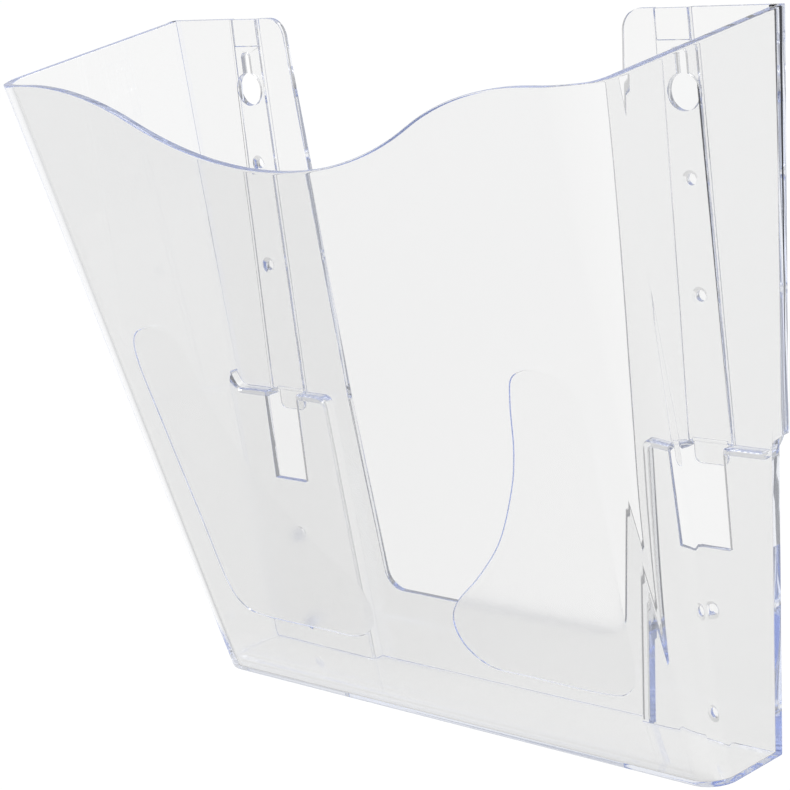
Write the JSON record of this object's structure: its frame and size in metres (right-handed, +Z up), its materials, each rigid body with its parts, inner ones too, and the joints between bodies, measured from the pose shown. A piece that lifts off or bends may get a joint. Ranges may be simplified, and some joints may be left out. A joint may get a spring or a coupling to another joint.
{
  "type": "wall magazine rack",
  "caption": "Clear wall-hung magazine pocket with a leaning front, a finger dip in its rim, keyhole back strips and stacking recesses.",
  "frame": {"origin": "midpoint between the centres of the two keyholes, on the wall plane", "axes": "+Z up, +Y into the wall, -Y into the room, +X to the right as seen from the room"},
  "size_m": [0.3304, 0.1124, 0.293],
  "materials": {
    "clear_plastic": "clear polished injection moulding"
  },
  "bodies": {
    "root": {"front_panel": "clear_plastic", "left_front_corner": "clear_plastic", "right_front_corner": "clear_plastic", "left_side_wall": "clear_plastic", "right_side_wall": "clear_plastic", "floor": "clear_plastic", "left_upper_strip": "clear_plastic", "right_upper_strip": "clear_plastic", "left_tongue": "clear_plastic", "right_tongue": "clear_plastic", "left_ledge": "clear_plastic", "right_ledge": "clear_plastic", "left_lower_panel": "clear_plastic", "right_lower_panel": "clear_plastic", "left_recess_wall": "clear_plastic", "right_recess_wall": "clear_plastic", "left_back_flange": "clear_plastic", "right_back_flange": "clear_plastic", "centre_back_panel": "clear_plastic"}
  },
  "joints": []
}
